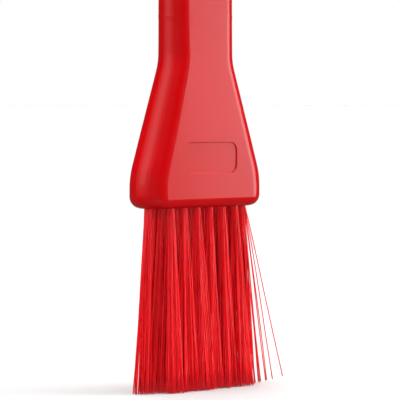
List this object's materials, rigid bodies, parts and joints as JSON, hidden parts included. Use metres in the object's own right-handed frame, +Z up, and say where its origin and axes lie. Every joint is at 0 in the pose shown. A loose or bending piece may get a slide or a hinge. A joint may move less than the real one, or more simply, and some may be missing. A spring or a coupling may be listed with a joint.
{
  "type": "pastry brush",
  "caption": "Small flat hand brush for glazing and greasing pastry: one-piece moulded plastic handle with a hanging hole and a wide head filled with stapled tufts of soft filaments.",
  "frame": {"origin": "middle of the brush on the plane of the bristle tips", "axes": "+Z up the handle from the tips to the hanging hole, X across the width of the head, -Y out of the front face with the blank marking field"},
  "size_m": [0.05, 0.014, 0.2],
  "materials": {
    "handle_plastic": "satin moulded polypropylene",
    "filament": "smooth extruded polyester monofilament",
    "anchor_steel": "drawn flat wire"
  },
  "bodies": {
    "root": {"handle": "handle_plastic", "tuft_front_1": "filament", "tuft_front_2": "filament", "tuft_front_3": "filament", "tuft_front_4": "filament", "tuft_front_5": "filament", "tuft_front_6": "filament", "tuft_middle_1": "filament", "tuft_middle_2": "filament", "tuft_middle_3": "filament", "tuft_middle_4": "filament", "tuft_middle_5": "filament", "tuft_middle_6": "filament", "tuft_middle_7": "filament", "tuft_middle_8": "filament", "tuft_back_1": "filament", "tuft_back_2": "filament", "tuft_back_3": "filament", "tuft_back_4": "filament", "tuft_back_5": "filament", "tuft_back_6": "filament", "anchor_front_1": "anchor_steel", "anchor_front_2": "anchor_steel", "anchor_front_3": "anchor_steel", "anchor_front_4": "anchor_steel", "anchor_front_5": "anchor_steel", "anchor_front_6": "anchor_steel", "anchor_middle_1": "anchor_steel", "anchor_middle_2": "anchor_steel", "anchor_middle_3": "anchor_steel", "anchor_middle_4": "anchor_steel", "anchor_middle_5": "anchor_steel", "anchor_middle_6": "anchor_steel", "anchor_middle_7": "anchor_steel", "anchor_middle_8": "anchor_steel", "anchor_back_1": "anchor_steel", "anchor_back_2": "anchor_steel", "anchor_back_3": "anchor_steel", "anchor_back_4": "anchor_steel", "anchor_back_5": "anchor_steel", "anchor_back_6": "anchor_steel"}
  },
  "joints": []
}
